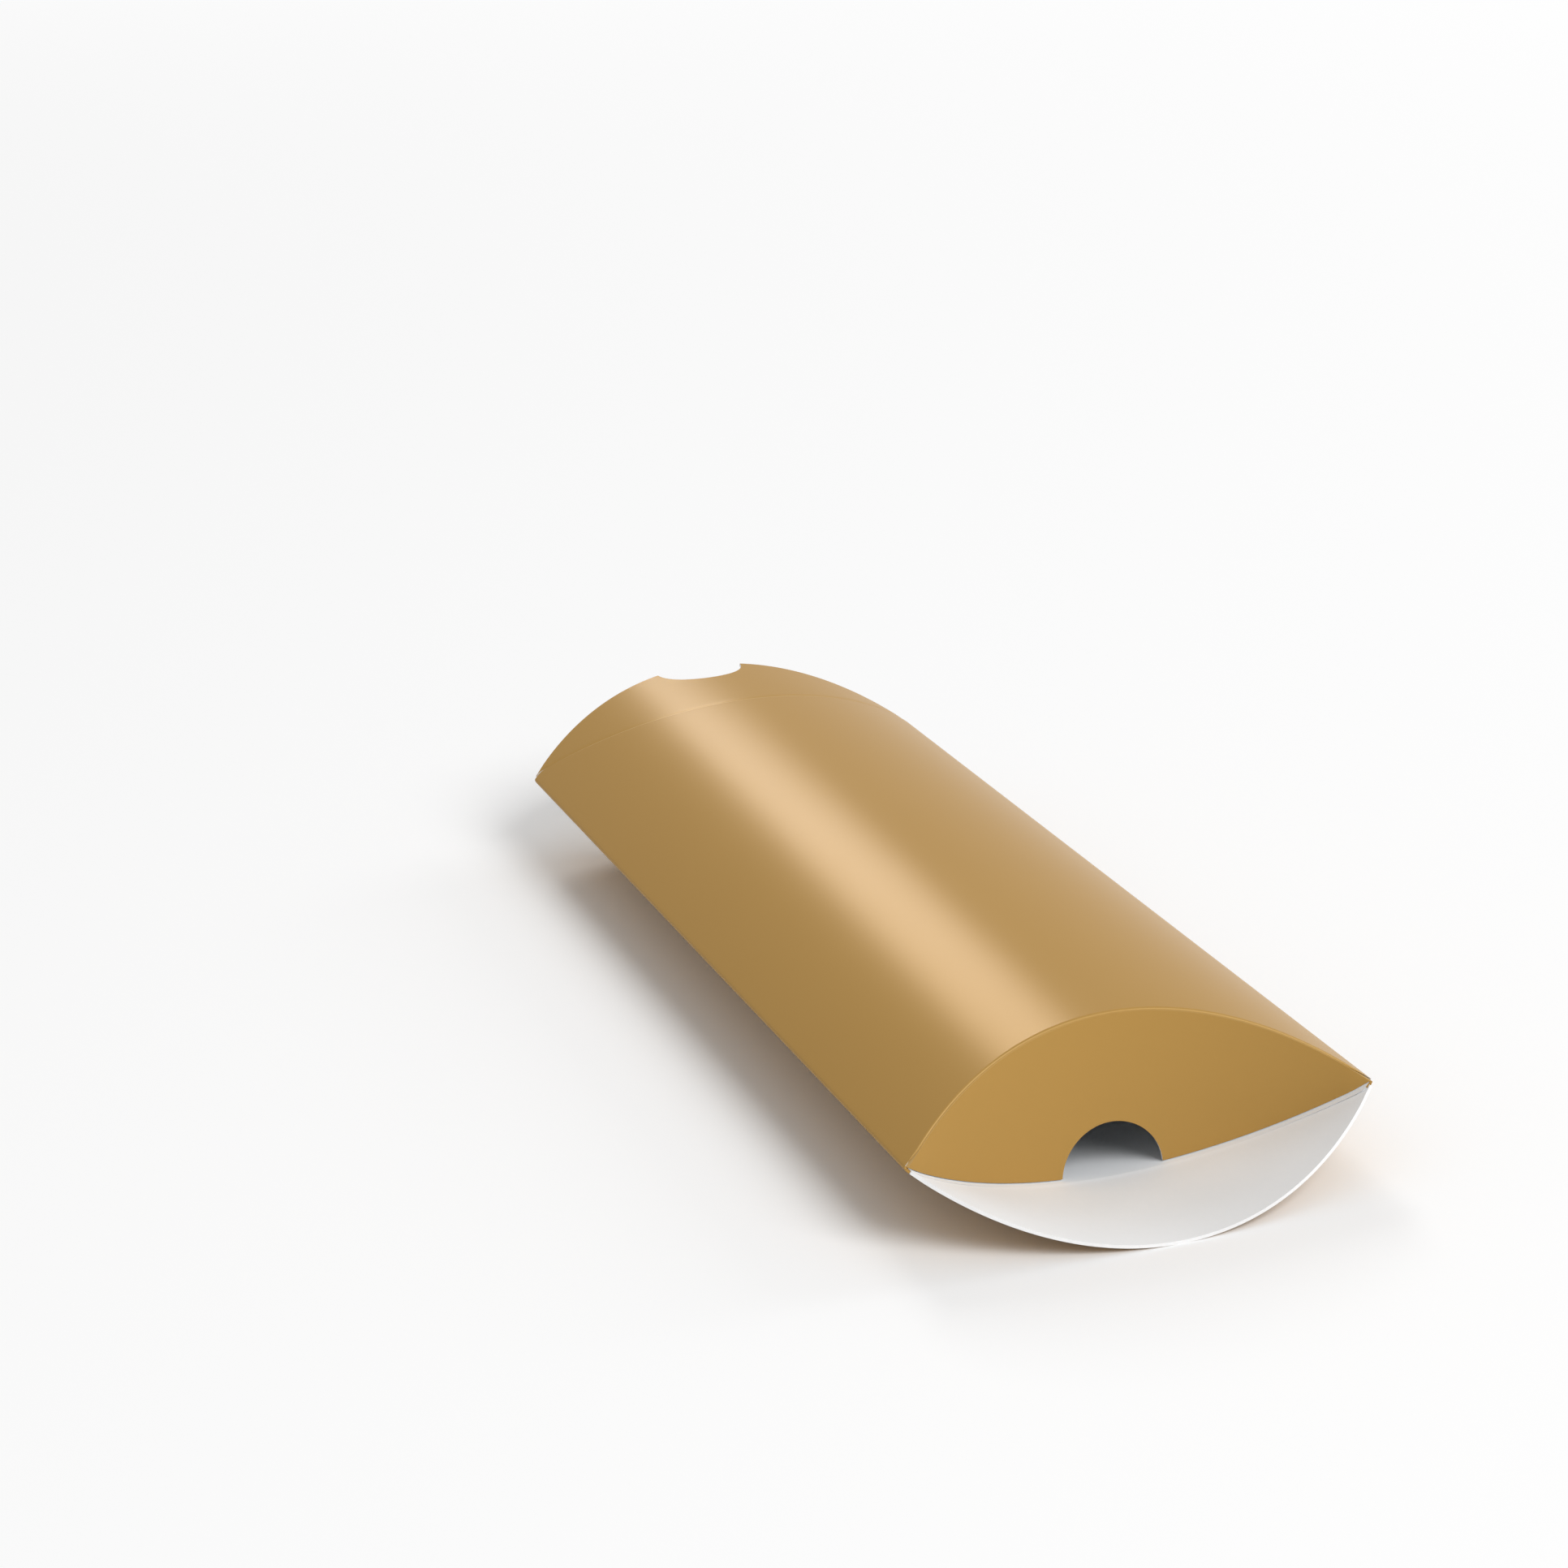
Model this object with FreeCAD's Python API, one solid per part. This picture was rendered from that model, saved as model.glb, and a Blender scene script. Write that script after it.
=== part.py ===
import FreeCAD, Part
import math
import os

# Pillow box: one die-cut sheet of board, glued down one side, puffed open between two bowed panels.
# X is the width, Y the length with the front end at minus Y, Z up from the face it rests on.

# Driving sizes of the puffed box, corner to corner and crown to crown.
box_length = 170.0
box_width = 65.0
box_height = 23.0
board = 0.45

# Curved end creases: how far the panel and the flap each stop short of the fold line.
panel_setback = 0.4
flap_setback = 0.6

# Tuck flaps: a flap folds about a line just outside its crease, so it stands that far out when folded.
# Each end has an inner flap and an outer one that closes over it, whose crease lies further out.
# The board bends along straight rulings as it folds, so each flap is made of staves joined there.
fold_offset = 0.65
outer_step = 1.3
flap_trim = 0.6
tip_relief = 2.5
staves_each_side = 3
bend_gap = 0.12

# Half-round thumb notch in the free edge of the two flaps of the top panel.
notch_radius = 7.1

# Glue tab of the bottom panel, stuck to the inner face of the top panel along the right side.
tab_width = 14.0
tab_setback = 3.0
tab_taper = 8.0
glue_film = 0.08
glue_fit = 0.01
glue_width = 8.0
glue_setback = 12.0

# The panels and the flaps are all parts of round cylinders of one radius, lying or standing.
inner_end = (box_length - outer_step) / 2
outer_end = inner_end + outer_step
half_width = box_width / 2
crown = box_height / 2
outer_radius = (half_width ** 2 + crown ** 2) / (2 * crown)
inner_radius = outer_radius - board
middle_radius = outer_radius - board / 2
axis_drop = outer_radius - crown
half_turn = math.acos(axis_drop / middle_radius)
reach = 4 * outer_radius

os.makedirs("parts", exist_ok=True)


def vector(x, y, z):
    return FreeCAD.Vector(x, y, z)


def lying_cylinder(radius, height_of_axis):
    """A cylinder along the length of the box."""
    start = vector(0, -reach / 2, height_of_axis)
    return Part.makeCylinder(radius, reach, start, vector(0, 1, 0))


def standing_cylinder(radius, place):
    """An upright cylinder on the centre line of the box."""
    start = vector(0, place, -reach / 2)
    return Part.makeCylinder(radius, reach, start, vector(0, 0, 1))


def block(x_low, x_high, y_low, y_high, z_low, z_high):
    corner = vector(x_low, y_low, z_low)
    return Part.makeBox(x_high - x_low, y_high - y_low, z_high - z_low, corner)


def save(shape, name):
    """Lift the piece from the middle plane to the resting face and write it out."""
    solid = max(shape.Solids, key=lambda piece: piece.Volume).copy()
    solid.translate(vector(0, 0, crown))
    solid.exportStep("parts/" + name + ".step")


def bowed_shell(radius_in, radius_out):
    """The bowed sheet above the middle plane, between two radii about the axis of the top panel."""
    shell = lying_cylinder(radius_out, -axis_drop).cut(lying_cylinder(radius_in, -axis_drop))
    return shell.common(block(-reach, reach, -reach, reach, 0, reach))


def top_panel():
    """A bowed panel whose two ends are hollowed along the end creases, the inner flap's at the front."""
    panel = bowed_shell(inner_radius, outer_radius)
    panel = panel.common(block(-reach, reach, -inner_end, outer_end, 0, reach))
    for crease in (-inner_end - axis_drop, outer_end + axis_drop):
        panel = panel.cut(standing_cylinder(middle_radius + panel_setback, crease))
    return panel


def turned_over(shape):
    """The same piece for the bottom panel, end for end."""
    turned = shape.copy()
    turned.rotate(vector(0, 0, 0), vector(1, 0, 0), 180)
    return turned


def tab_outline(width, setback, taper):
    """Upright prism over a strip along the right side with tapered ends."""
    near = inner_end - setback
    far = near - taper
    corners = [(half_width, -near), (half_width, near), (half_width - width, far), (half_width - width, -far)]
    points = [vector(x, y, 0) for x, y in corners + corners[:1]]
    return Part.Face(Part.makePolygon(points)).extrude(vector(0, 0, crown))


def stave_ring(turn_from, turn_to):
    """Length of bowed board between two rulings, standing along Z, its rulings parallel to Z."""
    def at(radius, turn):
        return vector(radius * math.sin(turn), radius * math.cos(turn) - axis_drop, -reach / 2)
    middle = (turn_from + turn_to) / 2
    outside = Part.Arc(at(outer_radius, turn_from), at(outer_radius, middle), at(outer_radius, turn_to))
    inside = Part.Arc(at(inner_radius, turn_to), at(inner_radius, middle), at(inner_radius, turn_from))
    edges = [
        outside.toShape(),
        Part.makeLine(at(outer_radius, turn_to), at(inner_radius, turn_to)),
        inside.toShape(),
        Part.makeLine(at(inner_radius, turn_from), at(outer_radius, turn_from)),
    ]
    return Part.Face(Part.Wire(edges)).extrude(vector(0, 0, reach))


def flap_outline(notched):
    """Lens of the flap seen square on: crease arc below, free edge above, thumb notch in the free edge."""
    across = vector(0, 1, 0)
    crease_disc = Part.makeCylinder(
        middle_radius - flap_setback, reach, vector(0, -reach / 2, axis_drop), across)
    free_disc = Part.makeCylinder(
        middle_radius - flap_trim, reach, vector(0, -reach / 2, -axis_drop), across)
    lens = crease_disc.common(free_disc)
    tip = half_width - tip_relief
    lens = lens.common(block(-tip, tip, -reach, reach, -reach, reach))
    if notched:
        free_edge = middle_radius - flap_trim - axis_drop
        notch = Part.makeCylinder(
            notch_radius, reach, vector(0, -reach / 2, free_edge), across)
        lens = lens.cut(notch)
    return lens


def place(shape, bow, run, origin):
    """Stand a flap in the box: its bow points along one axis and its rulings run along another."""
    matrix = FreeCAD.Matrix(
        -1, 0, 0, 0,
        0, bow[0], run[0], origin[0],
        0, bow[1], run[1], origin[1],
        0, 0, 0, 1)
    placed = shape.copy()
    placed.transformShape(matrix, True)
    return placed


save(top_panel(), "top_panel")
save(turned_over(top_panel()), "bottom_panel")

tab_outer = inner_radius - glue_film
tab_shell = bowed_shell(tab_outer - board, tab_outer)
save(tab_shell.common(tab_outline(tab_width, tab_setback, tab_taper)), "glue_tab")
film_shell = bowed_shell(tab_outer + glue_fit, inner_radius - glue_fit)
film_margin = (tab_width - glue_width) / 2
film_outline = tab_outline(tab_width - film_margin, glue_setback, 0)
film_outline = film_outline.cut(tab_outline(film_margin, glue_setback, 0))
save(film_shell.common(film_outline), "glue_strip")

# Bow direction, ruling direction and origin of each flap in the plane of length and height:
# the folded flaps stand on end, the open ones carry on from their panel.
flap_places = {
    "front_top_flap": ((1, 0), (0, -1), (-inner_end - fold_offset, fold_offset), True),
    "front_bottom_flap": ((0, -1), (-1, 0), (-outer_end, 0), False),
    "rear_top_flap": ((0, 1), (1, 0), (outer_end, 0), True),
    "rear_bottom_flap": ((-1, 0), (0, 1), (inner_end + fold_offset, -fold_offset), False),
}
side_numbers = range(1, staves_each_side + 1)
left_names = ["left_" + str(number) for number in reversed(side_numbers)]
right_names = ["right_" + str(number) for number in side_numbers]
stave_names = left_names + ["middle"] + right_names
stave_turn = 2 * half_turn / len(stave_names)
gap_turn = bend_gap / middle_radius

for flap, (bow, run, origin, notched) in flap_places.items():
    outline = flap_outline(notched)
    for index, stave in enumerate(stave_names):
        low = half_turn - (index + 1) * stave_turn
        high = half_turn - index * stave_turn
        ring = stave_ring(low + gap_turn / 2, high - gap_turn / 2)
        save(place(ring.common(outline), bow, run, origin), flap + "_" + stave)
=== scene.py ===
import math

import bpy
from mathutils import Matrix, Quaternion, Vector


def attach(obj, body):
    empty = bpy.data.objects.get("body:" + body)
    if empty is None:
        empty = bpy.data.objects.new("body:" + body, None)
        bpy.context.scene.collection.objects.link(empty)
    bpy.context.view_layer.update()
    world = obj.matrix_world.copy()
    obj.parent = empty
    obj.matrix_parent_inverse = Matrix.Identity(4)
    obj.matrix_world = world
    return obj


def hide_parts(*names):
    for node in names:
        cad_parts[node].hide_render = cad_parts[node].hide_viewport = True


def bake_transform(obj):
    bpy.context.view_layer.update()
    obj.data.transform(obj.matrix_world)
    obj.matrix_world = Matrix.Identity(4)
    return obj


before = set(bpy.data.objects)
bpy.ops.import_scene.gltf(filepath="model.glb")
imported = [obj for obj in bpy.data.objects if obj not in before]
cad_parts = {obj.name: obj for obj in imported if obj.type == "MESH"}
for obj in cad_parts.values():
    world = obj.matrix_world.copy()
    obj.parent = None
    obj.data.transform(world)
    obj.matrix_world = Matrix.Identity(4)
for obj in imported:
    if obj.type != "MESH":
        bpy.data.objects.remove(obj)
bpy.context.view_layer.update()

# The board of the whole box: one sheet of thin carton, printed with a satin gold pearl on the
# outside and left white inside, so its cut edges show white. Fibres give its faces a faint mottle.
# Along the creases the gold is painted to a lighter thread: partly the gold cracked along the
# scoring, partly a painted highlight that stands in for the glint of the lamps on the folds.
mm = 0.001
board = 0.45 * mm
gold_colour = (0.448, 0.262, 0.074, 1)
gold_shade = (0.446, 0.2605, 0.0735, 1)
gold_specular = 0.02
# The lighter crease thread: partly gold cracked along the scoring, partly a painted highlight for the glint
# on the folds.
score_and_glint_colour = (0.66, 0.47, 0.22, 1)
white_colour = (0.885, 0.905, 0.925, 1)
white_shade = (0.84, 0.86, 0.88, 1)
edge_colour = (0.93, 0.93, 0.93, 1)
edge_shade = (0.84, 0.84, 0.835, 1)
mottle_scale, mottle_detail = 55, 1
mottle_low, mottle_high = 0.35, 0.65
fibre_scale, fibre_detail = 1700, 3
grain_stretch = (1, 0.35, 1)
tooth_height = 0.02 * mm
rim_angle = math.radians(35)
gold_side, white_side, cut_side = 0, 1, 2


def board_fibre_group():
    """Fibres of the board: a mottled colour and roughness, and the height of the tooth."""
    group = bpy.data.node_groups.new("board_fibre", "ShaderNodeTree")
    for name in ("Plain Colour", "Shade Colour"):
        group.interface.new_socket(name, in_out="INPUT", socket_type="NodeSocketColor")
    for name in ("Mottle Scale", "Fibre Scale", "Fibre Share", "Smooth Rough", "Coarse Rough"):
        group.interface.new_socket(name, in_out="INPUT", socket_type="NodeSocketFloat")
    group.interface.new_socket("Colour", in_out="OUTPUT", socket_type="NodeSocketColor")
    for name in ("Roughness", "Height"):
        group.interface.new_socket(name, in_out="OUTPUT", socket_type="NodeSocketFloat")
    nodes, links = group.nodes, group.links
    entry = nodes.new("NodeGroupInput")
    leave = nodes.new("NodeGroupOutput")
    place = nodes.new("ShaderNodeTexCoord")
    mottle = nodes.new("ShaderNodeTexNoise")
    mottle.inputs["Detail"].default_value = mottle_detail
    fibre = nodes.new("ShaderNodeTexNoise")
    fibre.inputs["Detail"].default_value = fibre_detail
    long_grain = nodes.new("ShaderNodeMapping")
    long_grain.inputs["Scale"].default_value = grain_stretch
    links.new(place.outputs["Object"], mottle.inputs["Vector"])
    links.new(place.outputs["Object"], long_grain.inputs["Vector"])
    links.new(long_grain.outputs["Vector"], fibre.inputs["Vector"])
    links.new(entry.outputs["Mottle Scale"], mottle.inputs["Scale"])
    links.new(entry.outputs["Fibre Scale"], fibre.inputs["Scale"])
    both = nodes.new("ShaderNodeMix")
    links.new(entry.outputs["Fibre Share"], both.inputs["Factor"])
    links.new(mottle.outputs["Fac"], both.inputs["A"])
    links.new(fibre.outputs["Fac"], both.inputs["B"])
    spread = nodes.new("ShaderNodeMapRange")
    spread.inputs["From Min"].default_value = mottle_low
    spread.inputs["From Max"].default_value = mottle_high
    links.new(both.outputs["Result"], spread.inputs["Value"])
    tint = nodes.new("ShaderNodeMix")
    tint.data_type = "RGBA"
    links.new(spread.outputs["Result"], tint.inputs["Factor"])
    links.new(entry.outputs["Shade Colour"], tint.inputs["A"])
    links.new(entry.outputs["Plain Colour"], tint.inputs["B"])
    rough = nodes.new("ShaderNodeMapRange")
    links.new(both.outputs["Result"], rough.inputs["Value"])
    links.new(entry.outputs["Smooth Rough"], rough.inputs["To Min"])
    links.new(entry.outputs["Coarse Rough"], rough.inputs["To Max"])
    links.new(tint.outputs["Result"], leave.inputs["Colour"])
    links.new(rough.outputs["Result"], leave.inputs["Roughness"])
    links.new(fibre.outputs["Fac"], leave.inputs["Height"])
    return group


board_fibre = board_fibre_group()


def board_material(name, plain, shade, metallic, smooth, coarse, fibres, bump, score_and_glint=None):
    """One face of the board: its fibre mottle, the tooth of its surface, and the lighter crease thread if
    given, part cracked scoring and part painted highlight.
    """
    material = bpy.data.materials.new(name)
    material.use_nodes = True
    nodes, links = material.node_tree.nodes, material.node_tree.links
    shader = nodes["Principled BSDF"]
    shader.inputs["Metallic"].default_value = metallic
    fibre = nodes.new("ShaderNodeGroup")
    fibre.node_tree = board_fibre
    fibre.inputs["Plain Colour"].default_value = plain
    fibre.inputs["Shade Colour"].default_value = shade
    fibre.inputs["Mottle Scale"].default_value = mottle_scale
    fibre.inputs["Fibre Scale"].default_value = fibre_scale
    fibre.inputs["Fibre Share"].default_value = fibres
    fibre.inputs["Smooth Rough"].default_value = smooth
    fibre.inputs["Coarse Rough"].default_value = coarse
    tooth = nodes.new("ShaderNodeBump")
    tooth.inputs["Strength"].default_value = bump
    tooth.inputs["Distance"].default_value = tooth_height
    links.new(fibre.outputs["Height"], tooth.inputs["Height"])
    links.new(tooth.outputs["Normal"], shader.inputs["Normal"])
    links.new(fibre.outputs["Roughness"], shader.inputs["Roughness"])
    if score_and_glint is None:
        links.new(fibre.outputs["Colour"], shader.inputs["Base Color"])
        return material
    # The crease thread mixed into the colour: part cracked scoring, part painted highlight.
    line = nodes.new("ShaderNodeAttribute")
    line.attribute_name = "score_and_glint"
    crack_and_glint = nodes.new("ShaderNodeMix")
    crack_and_glint.data_type = "RGBA"
    crack_and_glint.inputs["B"].default_value = score_and_glint
    links.new(line.outputs["Fac"], crack_and_glint.inputs["Factor"])
    links.new(fibre.outputs["Colour"], crack_and_glint.inputs["A"])
    links.new(crack_and_glint.outputs["Result"], shader.inputs["Base Color"])
    return material


gold_face = board_material(
    "gold_face", gold_colour, gold_shade, metallic=0.05, smooth=0.265, coarse=0.275,
    fibres=0, bump=0.03, score_and_glint=score_and_glint_colour)
gold_face.node_tree.nodes["Principled BSDF"].inputs["Specular IOR Level"].default_value = gold_specular
white_face = board_material(
    "white_face", white_colour, white_shade, metallic=0, smooth=0.62, coarse=0.78, fibres=0.15, bump=0.25)
cut_edge = board_material(
    "cut_edge", edge_colour, edge_shade, metallic=0, smooth=0.75, coarse=0.9, fibres=0.35, bump=0.4)


def sheet_of_board(name, columns, rows, shape, outward, rims):
    """A flat grid shaped to its place, then given the thickness of the board on its inner side.

    shape gives the place of a point and its share of the lighter crease thread, part cracked scoring
    and part painted highlight. rims says what shows on the narrow face along the first row, last row,
    first column and last column.
    """
    bpy.ops.object.select_all(action="DESELECT")
    last_column, last_row = len(columns) - 1, len(rows) - 1
    bpy.ops.mesh.primitive_grid_add(x_subdivisions=last_column, y_subdivisions=last_row, size=1)
    sheet = bpy.context.object
    sheet.name = name
    sheet.data.name = name
    mesh = sheet.data
    score_and_glint = mesh.attributes.new("score_and_glint", "FLOAT", "POINT")
    across = [round((vertex.co.x + 0.5) * last_column) for vertex in mesh.vertices]
    along = [round((vertex.co.y + 0.5) * last_row) for vertex in mesh.vertices]
    for vertex, column, row in zip(mesh.vertices, across, along):
        vertex.co, score_and_glint.data[vertex.index].value = shape(columns[column], rows[row])
    mesh.update()
    if mesh.polygons[len(mesh.polygons) // 2].normal.dot(outward) < 0:
        bpy.ops.object.mode_set(mode="EDIT")
        bpy.ops.mesh.select_all(action="SELECT")
        bpy.ops.mesh.flip_normals()
        bpy.ops.object.mode_set(mode="OBJECT")
    for face in (gold_face, white_face, cut_edge):
        mesh.materials.append(face)
    thick = sheet.modifiers.new("thickness", "SOLIDIFY")
    thick.thickness = board
    thick.offset = -1
    thick.material_offset = white_side
    thick.material_offset_rim = cut_side
    bpy.ops.object.modifier_apply(modifier=thick.name)
    for face in mesh.polygons:
        if face.material_index != cut_side:
            continue
        outer = [index for index in face.vertices if index < len(across)]
        at_rows = {along[index] for index in outer}
        at_columns = {across[index] for index in outer}
        if at_rows == {0}:
            face.material_index = rims[0]
        elif at_rows == {last_row}:
            face.material_index = rims[1]
        elif at_columns == {0}:
            face.material_index = rims[2]
        else:
            face.material_index = rims[3]
    bpy.ops.object.shade_smooth_by_angle(angle=rim_angle)
    return sheet


# The two panels: bowed into parts of one round cylinder, folded together along the left side and
# overlapped along the right, where the cut edge of the top panel shows. Each end is rolled over
# along a curved crease, because the fold of a bowed panel runs on a slanted arc.
box_length, box_width, box_height = 170 * mm, 65 * mm, 23 * mm
outer_step = 1.3 * mm
fold_offset = 0.65 * mm
crown = box_height / 2
outer_radius = ((box_width / 2) ** 2 + crown ** 2) / (2 * crown)
middle_radius = outer_radius - board / 2
axis_drop = outer_radius - crown
inner_end = (box_length - outer_step) / 2
side_round = 0.5 * mm
seam_lift = 0.3 * mm
panel_step = math.radians(0.75)
panel_lengthwise = 24
roll_steps = 6
crease_round = 0.452 * mm
lip_leads = (0.8 * mm, 0.2 * mm)
lip_start = 0.05 * mm
# Shares of the crease thread, part cracked scoring and part painted highlight: at the top of the roll, and in
# the middle of the bow.
lip_score_glint_share = 0.6
middle_crack_glint_share = 0.25
corner_from, point_from, corner_to = 30.8 * mm, 29.5 * mm, 32.6 * mm
corner_gold = 31 * mm
corner_rise = 2.5 * mm
corner_lip_share = 0.1
end_facing = 0.7

side_centre = math.sqrt((outer_radius - side_round) ** 2 - axis_drop ** 2)
side_turn = math.atan2(side_centre, axis_drop)
seam_turn = math.acos((axis_drop + seam_lift) / outer_radius)


def bow_line(right_folded):
    """Outer face across the panel: offset across, height over the middle plane, and its slope as an angle."""
    right = side_turn if right_folded else seam_turn
    steps = round((side_turn + right) / panel_step)
    turns = [-side_turn + (side_turn + right) * k / steps for k in range(steps + 1)]
    line = [(outer_radius * math.sin(a), outer_radius * math.cos(a) - axis_drop, a) for a in turns]
    rolls = [side_turn + (math.pi / 2 - side_turn) * k / roll_steps for k in range(1, roll_steps + 1)]
    rolled = [(side_centre + side_round * math.sin(a), side_round * math.cos(a), a) for a in rolls]
    if right_folded:
        line = line + rolled
    return [(-x, z, -a) for x, z, a in reversed(rolled)] + line


def end_rows():
    """Rows near a crease: distance out past it, drop below the outer face, and share of the crease thread,
    part cracked scoring and part painted highlight.
    """
    centre = fold_offset + board / 2 - crease_round
    rows = [(-lead, 0, 0) for lead in lip_leads] + [(centre - lip_start, 0, 0)]
    for k in range(roll_steps + 1):
        a = math.pi / 2 * k / roll_steps
        crack_and_glint = lip_score_glint_share if 2 * k == roll_steps else 0
        rows.append((centre + crease_round * math.sin(a), crease_round * (1 - math.cos(a)), crack_and_glint))
    return rows


def corner_fade(x, start):
    """How much of a step at the crease is left: all of it up to the start, none at the corners."""
    share = min(max((corner_to - abs(x)) / (corner_to - start), 0), 1)
    return share * share * (3 - 2 * share)


def crack_and_glint_across(x):
    """How much of the crease thread, part cracked scoring and part painted highlight, shows across the bow:
    most towards the sides, least in the middle.
    """
    return middle_crack_glint_share + (1 - middle_crack_glint_share) * min(abs(x) / (box_width / 2), 1)


front_rows = [(-1, out, drop, line) for out, drop, line in reversed(end_rows())]
rear_rows = [(1, out, drop, line) for out, drop, line in end_rows()]
long_rows = [(k / panel_lengthwise * 2 - 1, None, 0, 0) for k in range(1, panel_lengthwise)]


def panel(name, side, front_step, rear_step, right_folded):
    """A panel on its side of the middle plane, each end as far out as its flap needs."""
    def shape(column, row):
        x, z, slope = column
        where, out, drop, line = row
        middle = max(z - board / 2 * math.cos(slope), 0)
        front_y = -(inner_end + front_step * corner_fade(x, corner_from) - middle)
        rear_y = inner_end + rear_step * corner_fade(x, corner_from) - middle
        drop *= min(max((z - side_round) / corner_rise, 0), 1)
        if out is None:
            y = front_y + (rear_y - front_y) * (where + 1) / 2
        else:
            if out > 0:
                out *= corner_lip_share + (1 - corner_lip_share) * corner_fade(x, point_from)
            y = front_y - out if where < 0 else rear_y + out
        return Vector((x, y, crown + side * (z - drop))), line * crack_and_glint_across(x)

    piece = sheet_of_board(
        name, bow_line(right_folded), front_rows + long_rows + rear_rows, shape, Vector((0, 0, side)),
        (white_side, white_side, gold_side, gold_side if right_folded else cut_side))
    for face in piece.data.polygons:
        if abs(face.normal.y) > end_facing and abs(face.center.x) > corner_gold:
            face.material_index = gold_side
    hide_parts(name.replace("_board", ""))
    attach(piece, "sleeve")


panel("top_panel_board", 1, 0, outer_step, False)
panel("bottom_panel_board", -1, outer_step, 0, True)

# The glue tab: a strip of the same board that carries on from the bottom panel past the right side
# crease. It lies inside the top panel, its ends tapered, with a film of dried glue holding it there.
tab_width = 14 * mm
tab_inset = 0.6 * mm
tab_setback = 3 * mm
tab_taper = 8 * mm
glue_film = 0.08 * mm
tab_radius = outer_radius - board - glue_film
tab_columns = 24
tab_rows = 20
glue_colour = (0.74, 0.70, 0.56, 1)
glue_shade = (0.66, 0.61, 0.46, 1)


def tab_shape(column, row):
    x = box_width / 2 - tab_inset - (tab_width - tab_inset) * column
    taper = tab_taper * (box_width / 2 - x) / tab_width
    y = row * (inner_end - tab_setback - taper)
    z = math.sqrt(tab_radius ** 2 - x ** 2) - axis_drop
    return Vector((x, y, crown + z)), 0


tab_board = sheet_of_board(
    "glue_tab_board", [k / tab_columns for k in range(tab_columns + 1)],
    [k / tab_rows * 2 - 1 for k in range(tab_rows + 1)], tab_shape, Vector((0, 0, 1)),
    (cut_side, cut_side, white_side, cut_side))
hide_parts("glue_tab")
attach(tab_board, "sleeve")

dried_glue = board_material(
    "dried_glue", glue_colour, glue_shade, metallic=0, smooth=0.35, coarse=0.5, fibres=0.35, bump=0.3)
glue_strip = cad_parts["glue_strip"]
glue_strip.data.materials.clear()
glue_strip.data.materials.append(dried_glue)

# The tuck flaps: a lens of board past each crease that bows the other way when it folds in. The two
# of the top panel have a half-round thumb notch punched in the free edge. A flap is made in strips,
# each running between the middle lines of two staves.
half_turn = math.acos(axis_drop / middle_radius)
stave_names = ["left_3", "left_2", "left_1", "middle", "right_1", "right_2", "right_3"]
stave_count = len(stave_names)
stave_turn = 2 * half_turn / stave_count
open_trim, tucked_trim = 0.6 * mm, -0.25 * mm
open_reach, tucked_reach = 31.7 * mm, 31.9 * mm
taper_from, taper_power = 29.5 * mm, 3
tip_length = 0.2 * mm
tip_tuck = 0.35 * mm
notch_radius = 7.1 * mm
notch_reach = 7.08 * mm
notch_steps = 26
flap_step = math.radians(0.55)
seam_hair = math.radians(0.06)
flap_row_shares = [0, 0.012, 0.03, 0.06, 0.15, 0.3, 0.45, 0.6, 0.75, 0.9, 1]
score_dip, score_ramp = 0.06 * mm, 0.6 * mm
# Shares of the crease thread at the base of a flap: on the tucked flaps part cracked scoring and part painted
# highlight, on the open flaps raised further as a painted highlight of the lamp along the crease.
open_score_glint_share, tucked_score_glint_share = 0.8, 0.4


def free_edge(x, trim, notched):
    """Where the flap ends along its ruling, measured from the middle of the lens."""
    free_radius = middle_radius - trim
    end = math.sqrt(free_radius ** 2 - x ** 2) - axis_drop
    if notched and abs(x) < notch_radius:
        end = min(end, free_radius - axis_drop - math.sqrt(notch_radius ** 2 - x ** 2))
    return end


def strip_columns(low, high, notched):
    """Turns of the columns of one strip, closer together round the notch."""
    steps = round((high - low) / flap_step)
    columns = {low + (high - low) * k / steps for k in range(steps + 1)}
    columns |= {low + seam_hair, high - seam_hair}
    if notched:
        columns = {a for a in columns if abs(a) > math.asin(notch_reach / middle_radius) or a in (low, high)}
        for k in range(-notch_steps, notch_steps + 1):
            a = math.asin(notch_reach * math.sin(math.pi / 2 * k / notch_steps) / middle_radius)
            if low <= a <= high:
                columns.add(a)
    return sorted(columns)


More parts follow.
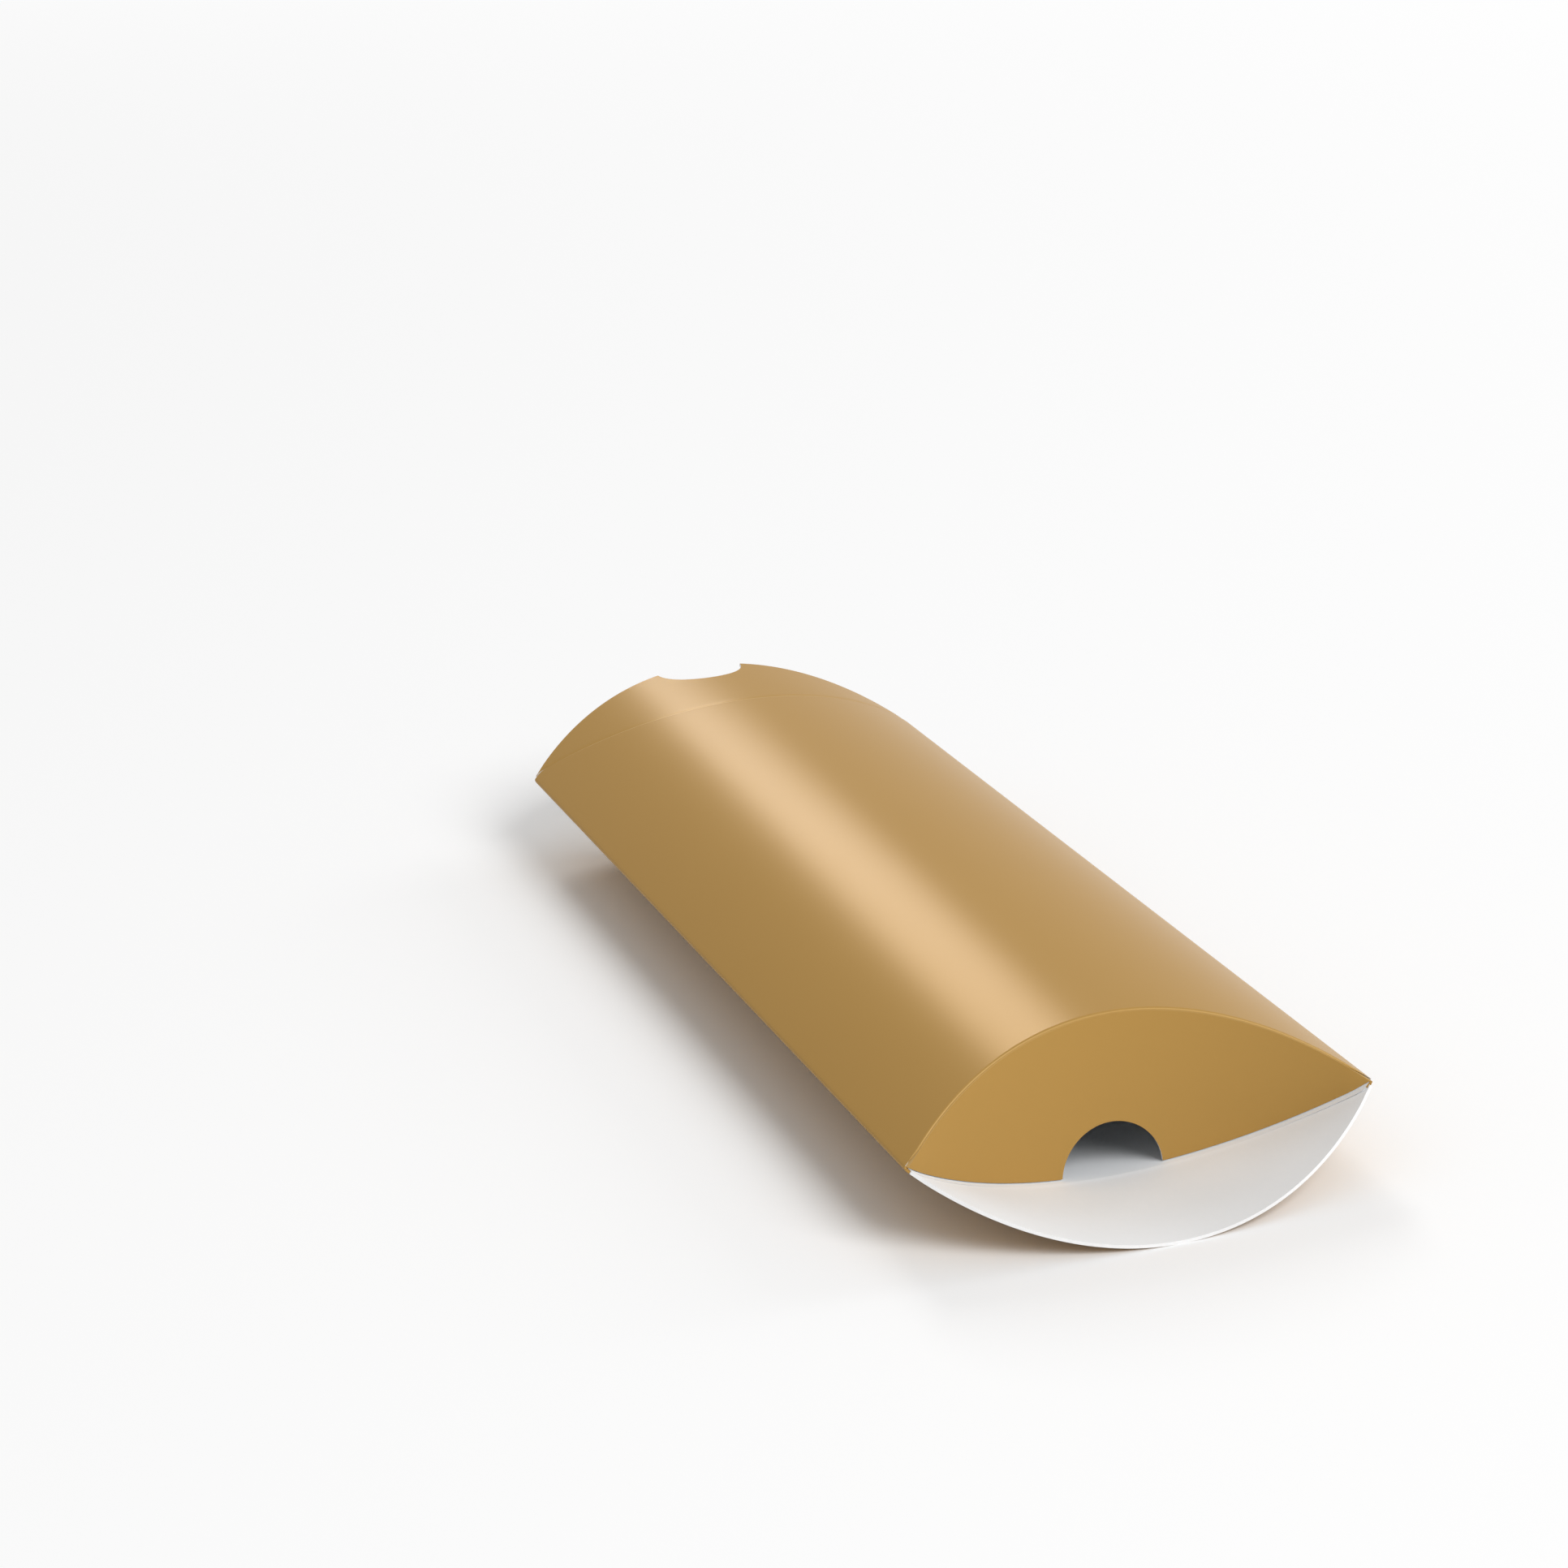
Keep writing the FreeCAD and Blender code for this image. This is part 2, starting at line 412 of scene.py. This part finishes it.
def flap(flap_name, end, side, folded, notched):
    """A flap at one end of the panel on one side, tucked in or open, with or without the notch."""
    trim = tucked_trim if folded else open_trim
    tip_turn = math.asin((tucked_reach if folded else open_reach) / middle_radius)

    def place(turn, run):
        """Middle of the board and its outward direction at a turn of the bow and a place along the ruling."""
        x, rise = middle_radius * math.sin(turn), middle_radius * math.cos(turn) - axis_drop
        if folded:
            centre = Vector((x, end * (inner_end + fold_offset - rise), crown + side * (fold_offset - run)))
            return centre, Vector((-math.sin(turn), end * math.cos(turn), 0))
        centre = Vector((x, end * (inner_end + outer_step + run), crown + side * rise))
        return centre, Vector((math.sin(turn), 0, side * math.cos(turn)))

    def tucked_shape(turn, share):
        x = middle_radius * math.sin(turn)
        base = fold_offset - (middle_radius * math.cos(turn) - axis_drop)
        centre, out = place(turn, base + (free_edge(x, trim, notched) - base) * share)
        centre.y -= end * tip_tuck * (1 - corner_fade(x, point_from))
        return centre + out * board / 2, tucked_score_glint_share * crack_and_glint_across(x) if share == 0 else 0

    def open_shape(turn, share):
        x = middle_radius * math.sin(turn)
        base = fold_offset - (middle_radius * math.cos(turn) - axis_drop)
        base -= (outer_step + fold_offset) * (1 - corner_fade(x, corner_from))
        length = free_edge(x, trim, notched) - base
        taper = min(max((abs(x) - taper_from) / (open_reach - taper_from), 0), 1)
        length += (tip_length - length) * taper ** taper_power
        centre, out = place(turn, base + length * share)
        dip = score_dip * max(0, 1 - length * share / score_ramp)
        return centre + out * (board / 2 - dip), open_score_glint_share if share == 0 else 0

    lines = [(index - (stave_count - 1) / 2) * stave_turn for index in range(stave_count)]
    cuts = [-tip_turn] + lines[1:-1] + [tip_turn]
    names = [f"{flap_name}_{stave}" for stave in stave_names]
    base_side, tip_side = (gold_side, gold_side) if folded else (white_side, cut_side)
    last = stave_count - 2
    for index in range(stave_count - 1):
        low, high = cuts[index], cuts[index + 1]
        strip = sheet_of_board(
            f"{flap_name}_strip_{index + 1}", strip_columns(low, high, notched), flap_row_shares,
            tucked_shape if folded else open_shape, place((low + high) / 2, 0)[1],
            (base_side, cut_side, tip_side if index == 0 else gold_side,
             tip_side if index == last else gold_side))
        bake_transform(strip)
        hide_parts(*(names[:2] if index == 0 else names[index + 1:index + 2]))


flap("front_top_flap", -1, 1, True, True)
flap("front_bottom_flap", -1, -1, False, False)
flap("rear_top_flap", 1, 1, False, True)
flap("rear_bottom_flap", 1, -1, True, False)

# The table it lies on: one pale matt sheet without a seam, lit like the box where it is near.
# Further off it turns into the plain backdrop, which only the picture and reflections see.
table_half = 6.0
table_colour = (0.97, 0.97, 0.97, 1)
table_roughness = 0.9
fade_from, fade_to = 1.4, 3.2
backdrop_colour = (1, 1, 1, 1)
backdrop_light = 0.9


def picture_rays(nodes, links):
    """One on the rays that show the backdrop: from the camera, off a gloss and through glass."""
    path = nodes.new("ShaderNodeLightPath")
    seen = path.outputs["Is Camera Ray"]
    for ray in ("Is Glossy Ray", "Is Transmission Ray"):
        either = nodes.new("ShaderNodeMath")
        either.operation = "MAXIMUM"
        links.new(seen, either.inputs[0])
        links.new(path.outputs[ray], either.inputs[1])
        seen = either.outputs[0]
    return seen


bpy.ops.object.select_all(action="DESELECT")
bpy.ops.mesh.primitive_plane_add(size=2 * table_half)
table = bpy.context.object
table.name = "table"
table_material = bpy.data.materials.new("pale_table")
table_material.use_nodes = True
table_nodes, table_links = table_material.node_tree.nodes, table_material.node_tree.links
table_shader = table_nodes["Principled BSDF"]
table_shader.inputs["Base Color"].default_value = table_colour
table_shader.inputs["Roughness"].default_value = table_roughness
table_shader.inputs["Specular IOR Level"].default_value = 0
table_place = table_nodes.new("ShaderNodeTexCoord")
distance = table_nodes.new("ShaderNodeVectorMath")
distance.operation = "LENGTH"
table_links.new(table_place.outputs["Object"], distance.inputs[0])
far_off = table_nodes.new("ShaderNodeMapRange")
far_off.interpolation_type = "SMOOTHSTEP"
far_off.inputs["From Min"].default_value = fade_from
far_off.inputs["From Max"].default_value = fade_to
table_links.new(distance.outputs["Value"], far_off.inputs["Value"])
backdrop_share = table_nodes.new("ShaderNodeMath")
backdrop_share.operation = "MULTIPLY"
table_links.new(far_off.outputs["Result"], backdrop_share.inputs[0])
table_links.new(picture_rays(table_nodes, table_links), backdrop_share.inputs[1])
backdrop = table_nodes.new("ShaderNodeEmission")
backdrop.inputs["Color"].default_value = backdrop_colour
backdrop.inputs["Strength"].default_value = backdrop_light
joined = table_nodes.new("ShaderNodeMixShader")
table_links.new(backdrop_share.outputs[0], joined.inputs["Fac"])
table_links.new(table_shader.outputs["BSDF"], joined.inputs[1])
table_links.new(backdrop.outputs["Emission"], joined.inputs[2])
table_links.new(joined.outputs["Shader"], table_nodes["Material Output"].inputs["Surface"])
table.data.materials.append(table_material)

# The studio: a plain white room with three soft boxes. The one behind draws the band of light along
# the top panel, a small one lights the right side, and the broad one in front lights the end flap
# and the white inside.
room_colour = (1, 1, 1, 1)
room_light = 0.46
world = bpy.data.worlds.new("studio_room")
bpy.context.scene.world = world
world.use_nodes = True
room_nodes, room_links = world.node_tree.nodes, world.node_tree.links
room_shader = room_nodes["Background"]
room_shader.inputs["Color"].default_value = room_colour
strength = room_nodes.new("ShaderNodeMapRange")
strength.inputs["To Min"].default_value = room_light
strength.inputs["To Max"].default_value = backdrop_light
room_links.new(picture_rays(room_nodes, room_links), strength.inputs["Value"])
room_links.new(strength.outputs["Result"], room_shader.inputs["Strength"])


def soft_box(name, place, aim, size, lean, power):
    """A lamp with a broad face turned to its aim, its face leaning by so many degrees."""
    lamp = bpy.data.lights.new(name, "AREA")
    lamp.shape = "RECTANGLE"
    lamp.size, lamp.size_y = size
    lamp.energy = power
    holder = bpy.data.objects.new(name, lamp)
    bpy.context.scene.collection.objects.link(holder)
    holder.location = place
    facing = (Vector(aim) - Vector(place)).to_track_quat("-Z", "Y")
    holder.rotation_euler = (facing @ Quaternion((0, 0, 1), math.radians(lean))).to_euler()


soft_box("back_soft_box", place=(0.47, 3.0, 1.78), aim=(0, 0, 0.01), size=(0.62, 1.2), lean=-25, power=30)
soft_box("side_soft_box", place=(2.2, 0.6, 1.0), aim=(0, 0, 0), size=(0.8, 0.8), lean=0, power=8)
soft_box("front_soft_box", place=(1.0, -2.2, 2.1), aim=(0, 0, 0), size=(1.8, 1.8), lean=0, power=62)

# The camera stands where the photograph was taken from, tipped as it was held to the box.
# Its place and directions come from a fit to the corners and creases of the box.
camera_lens, camera_sensor = 93.39, 36
camera_nearest = 0.01
camera_place = Vector((-0.1885, -0.5209, 0.2184))
camera_right = Vector((0.9438, -0.3268, -0.0488)).normalized()
camera_back = Vector((-0.2954, -0.9007, 0.3185)).normalized()
camera_up = camera_back.cross(camera_right).normalized()
camera_data = bpy.data.cameras.new("camera")
camera_data.lens = camera_lens
camera_data.sensor_width = camera_sensor
camera_data.clip_start = camera_nearest
camera = bpy.data.objects.new("camera", camera_data)
bpy.context.scene.collection.objects.link(camera)
camera.matrix_world = Matrix((
    (camera_right.x, camera_up.x, camera_back.x, camera_place.x),
    (camera_right.y, camera_up.y, camera_back.y, camera_place.y),
    (camera_right.z, camera_up.z, camera_back.z, camera_place.z),
    (0, 0, 0, 1)))
bpy.context.scene.camera = camera
bpy.context.scene.view_settings.view_transform = "Standard"
